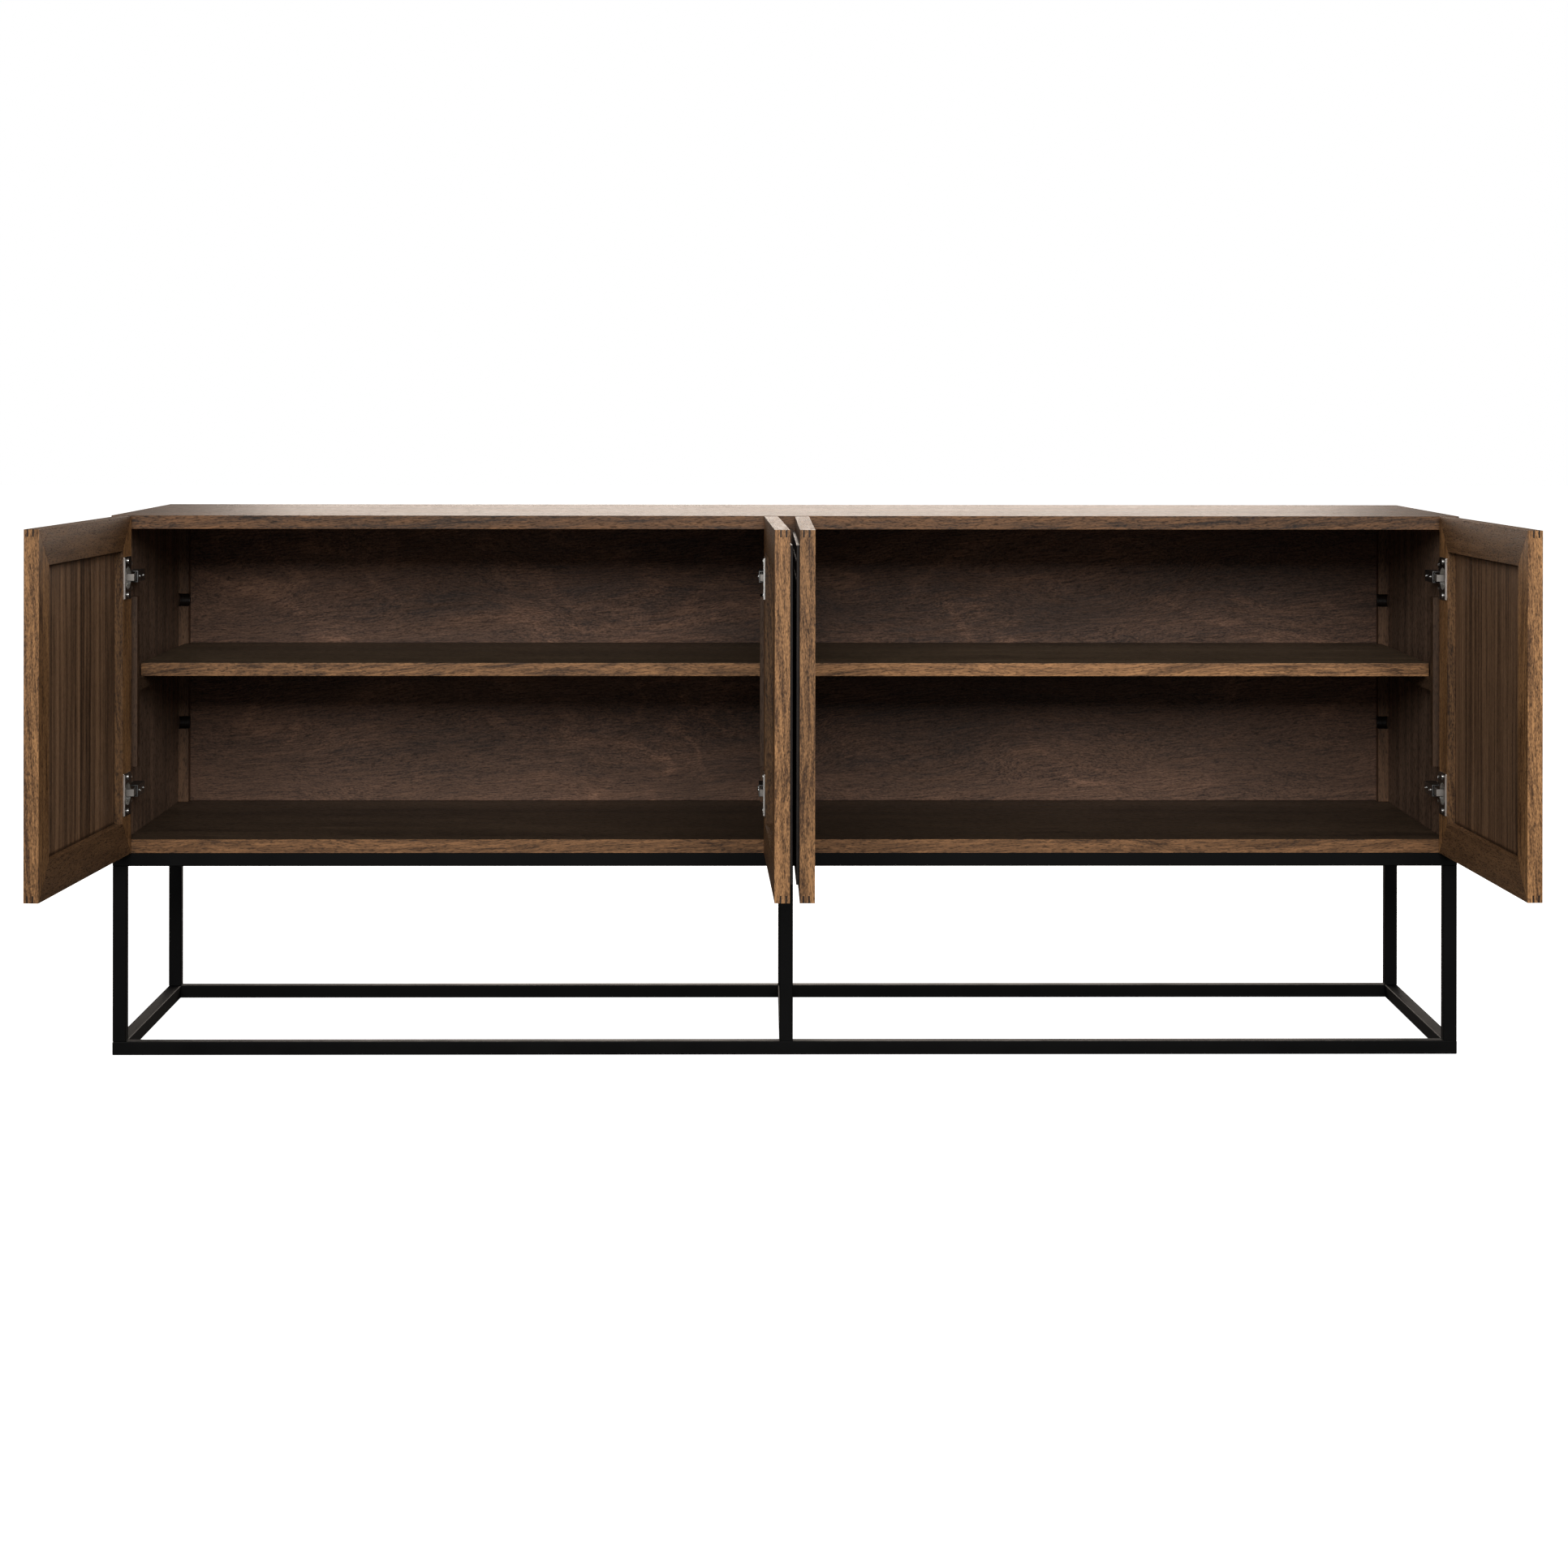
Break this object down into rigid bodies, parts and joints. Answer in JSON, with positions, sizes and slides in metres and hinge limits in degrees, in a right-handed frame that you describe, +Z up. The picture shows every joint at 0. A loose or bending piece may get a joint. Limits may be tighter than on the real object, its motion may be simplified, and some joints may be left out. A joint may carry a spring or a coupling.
{
  "type": "sideboard buffet",
  "caption": "Low wooden sideboard with hinged doors standing open, notched shelf supports, loose shelves and a black square-tube base.",
  "frame": {"origin": "on the floor at the centre of the footprint, on the underside of the middle bottom cross rail", "axes": "+X along the width, to the right of someone facing the doors; +Y towards the wall behind; +Z up"},
  "size_m": [2.0375, 1.001, 0.8],
  "materials": {
    "black_steel_tube": "matte black powder coat",
    "screw_steel": "zinc plated",
    "case_oak": "oiled, open grain, brown stain",
    "back_veneer": "satin stained veneer",
    "support_oak": "satin stained",
    "shelf_oak": "satin stained, open grain",
    "key_wood": "dark stained",
    "door_panel_oak": "satin stained, upright grain",
    "front_oak": "dark stained, ribbed",
    "door_frame_oak": "satin stained, open grain",
    "hinge_nickel": "nickel plated"
  },
  "bodies": {
    "cabinet": {"back_panel_left": "back_veneer", "back_panel_right": "back_veneer", "base_screws": "screw_steel", "bottom_board": "case_oak", "bottom_cross_rails": "black_steel_tube", "divider_left": "case_oak", "divider_packing": "case_oak", "divider_right": "case_oak", "front_battens": "support_oak", "front_bottom_rail": "black_steel_tube", "front_centre_leg": "black_steel_tube", "front_left_leg": "black_steel_tube", "front_right_leg": "black_steel_tube", "front_top_rail": "black_steel_tube", "hinge_arms": "hinge_nickel", "hinge_plate_screws": "screw_steel", "hinge_plates": "hinge_nickel", "left_side": "case_oak", "rear_battens": "support_oak", "rear_bottom_rail": "black_steel_tube", "rear_centre_leg": "black_steel_tube", "rear_left_leg": "black_steel_tube", "rear_right_leg": "black_steel_tube", "rear_top_rail": "black_steel_tube", "right_side": "case_oak", "shelf_cleats_left": "support_oak", "shelf_cleats_right": "support_oak", "top_board": "case_oak", "top_cross_rails": "black_steel_tube"},
    "outer_left_hinge_links": {"outer_left_hinge_links": "hinge_nickel"},
    "outer_left_door": {"outer_left_door_mitre_keys": "key_wood", "outer_left_door_panel": "door_panel_oak", "outer_left_door_rails": "door_frame_oak", "outer_left_door_ribbed_front": "front_oak", "outer_left_door_stiles": "door_frame_oak", "outer_left_hinge_cups": "hinge_nickel"},
    "centre_left_hinge_links": {"centre_left_hinge_links": "hinge_nickel"},
    "centre_left_door": {"centre_left_door_mitre_keys": "key_wood", "centre_left_door_panel": "door_panel_oak", "centre_left_door_rails": "door_frame_oak", "centre_left_door_ribbed_front": "front_oak", "centre_left_door_stiles": "door_frame_oak", "centre_left_hinge_cups": "hinge_nickel"},
    "centre_right_hinge_links": {"centre_right_hinge_links": "hinge_nickel"},
    "centre_right_door": {"centre_right_door_mitre_keys": "key_wood", "centre_right_door_panel": "door_panel_oak", "centre_right_door_rails": "door_frame_oak", "centre_right_door_ribbed_front": "front_oak", "centre_right_door_stiles": "door_frame_oak", "centre_right_hinge_cups": "hinge_nickel"},
    "outer_right_hinge_links": {"outer_right_hinge_links": "hinge_nickel"},
    "outer_right_door": {"outer_right_door_mitre_keys": "key_wood", "outer_right_door_panel": "door_panel_oak", "outer_right_door_rails": "door_frame_oak", "outer_right_door_ribbed_front": "front_oak", "outer_right_door_stiles": "door_frame_oak", "outer_right_hinge_cups": "hinge_nickel"},
    "shelf_left": {"shelf_left": "shelf_oak"},
    "shelf_right": {"shelf_right": "shelf_oak"}
  },
  "joints": [
    {"name": "outer_left_link_turn", "type": "hinge", "parent": "cabinet", "child": "outer_left_hinge_links", "pos_m": [-0.9665, -0.2363, 0.55], "axis": [0, 0, 1], "range_deg": [-28.23, 2.3]},
    {"name": "outer_left_door_swing", "type": "hinge", "parent": "outer_left_hinge_links", "child": "outer_left_door", "pos_m": [-0.97583, -0.26576, 0.55], "axis": [0, 0, -1], "range_deg": [-121.43, 8.3]},
    {"name": "centre_left_link_turn", "type": "hinge", "parent": "cabinet", "child": "centre_left_hinge_links", "pos_m": [-0.03675, -0.2363, 0.55], "axis": [0, 0, -1], "range_deg": [-27.65, 0.4]},
    {"name": "centre_left_door_swing", "type": "hinge", "parent": "centre_left_hinge_links", "child": "centre_left_door", "pos_m": [-0.02713, -0.26566, 0.55], "axis": [0, 0, 1], "range_deg": [-118.9, 0]},
    {"name": "centre_right_link_turn", "type": "hinge", "parent": "cabinet", "child": "centre_right_hinge_links", "pos_m": [0.03675, -0.2363, 0.55], "axis": [0, 0, 1], "range_deg": [-27.08, 0.4]},
    {"name": "centre_right_door_swing", "type": "hinge", "parent": "centre_right_hinge_links", "child": "centre_right_door", "pos_m": [0.02684, -0.26557, 0.55], "axis": [0, 0, -1], "range_deg": [-116.43, 0]},
    {"name": "outer_right_link_turn", "type": "hinge", "parent": "cabinet", "child": "outer_right_hinge_links", "pos_m": [0.9665, -0.2363, 0.55], "axis": [0, 0, -1], "range_deg": [-27.84, 2.69]},
    {"name": "outer_right_door_swing", "type": "hinge", "parent": "outer_right_hinge_links", "child": "outer_right_door", "pos_m": [0.97603, -0.2657, 0.55], "axis": [0, 0, 1], "range_deg": [-119.74, 9.99]},
    {"name": "shelf_left_lift", "type": "slide", "parent": "cabinet", "child": "shelf_left", "axis": [0, 0, 1], "range_m": [0, 0.099]},
    {"name": "shelf_right_lift", "type": "slide", "parent": "cabinet", "child": "shelf_right", "axis": [0, 0, 1], "range_m": [0, 0.099]}
  ],
  "couplings": [
    {"joint": "outer_left_link_turn", "follows": "outer_left_door_swing", "ratio": 0.22917},
    {"joint": "centre_left_link_turn", "follows": "centre_left_door_swing", "ratio": 0.22917},
    {"joint": "centre_right_link_turn", "follows": "centre_right_door_swing", "ratio": 0.22917},
    {"joint": "outer_right_link_turn", "follows": "outer_right_door_swing", "ratio": 0.22917}
  ]
}
